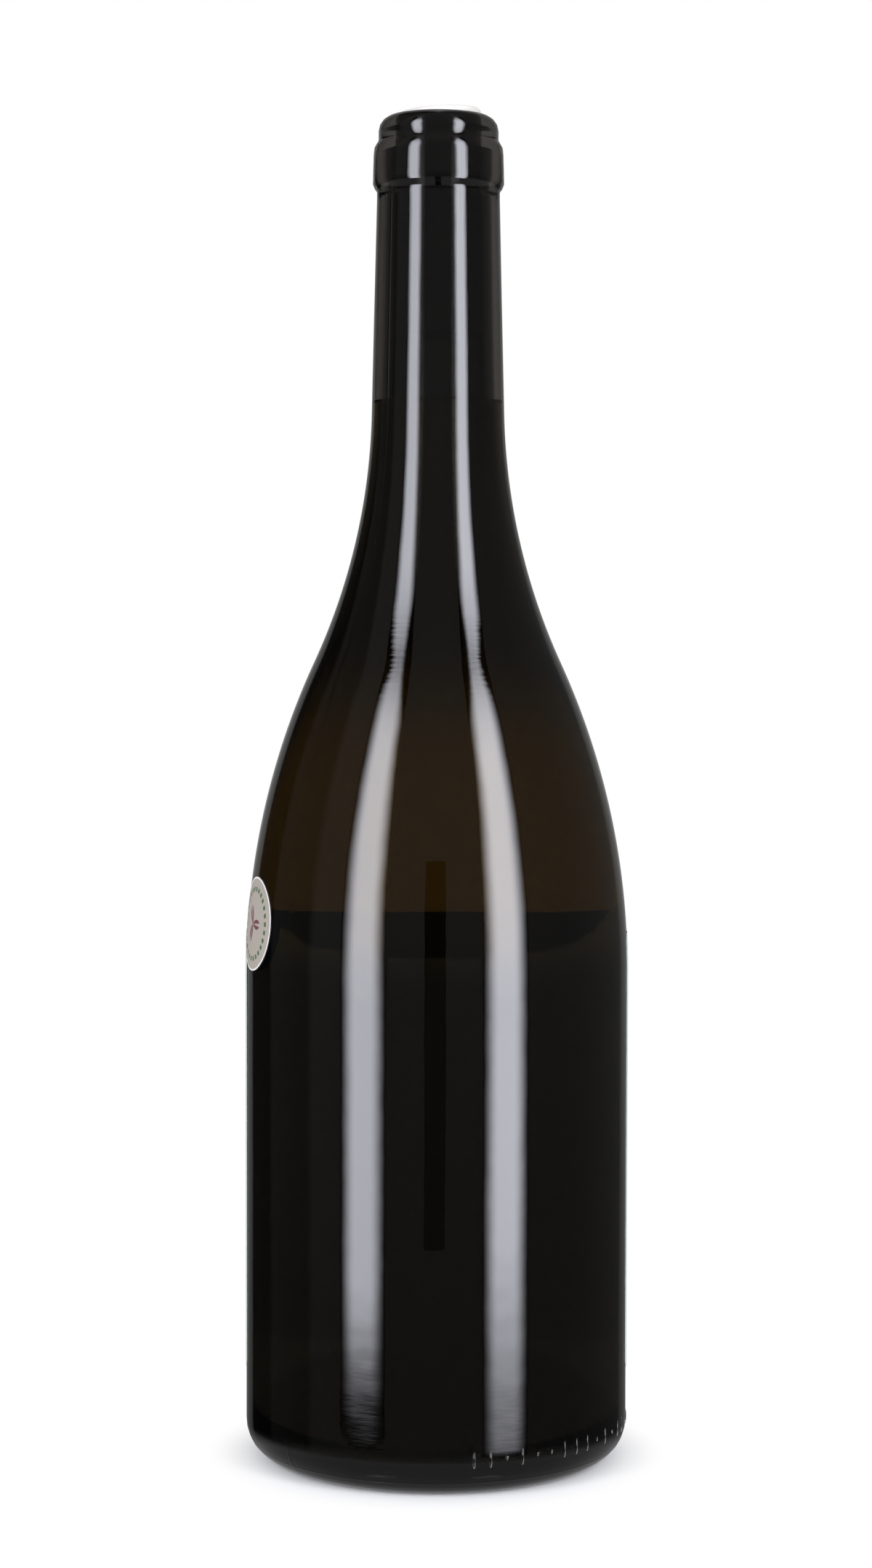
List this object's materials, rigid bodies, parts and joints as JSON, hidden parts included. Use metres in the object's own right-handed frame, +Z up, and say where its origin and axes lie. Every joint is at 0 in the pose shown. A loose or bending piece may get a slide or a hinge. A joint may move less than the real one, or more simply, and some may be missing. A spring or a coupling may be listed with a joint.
{
  "type": "wine bottle",
  "caption": "Corked straight-sided glass wine bottle with a ringed lip, punted base and rounded heel, filled with pale wine, with a blank wrap-round label and a round sticker.",
  "frame": {"origin": "centre of the ring the bottle stands on, at floor level", "axes": "+Z up the bottle's axis to the mouth, +Y towards the middle of the label"},
  "size_m": [0.0848, 0.0846, 0.2965],
  "materials": {
    "glass": "dark brown-black clear glass, polished by fire, faintly rippled",
    "wine": "clear pale straw liquid",
    "stopper": "pale moulded stopper, satin",
    "label_paper": "uncoated paper in pale grey-green, blank",
    "sticker_paper": "matt beige paper with a white cut edge"
  },
  "bodies": {
    "root": {"bottle": "glass", "wine": "wine", "cork": "stopper", "label": "label_paper", "sticker": "sticker_paper"}
  },
  "joints": []
}
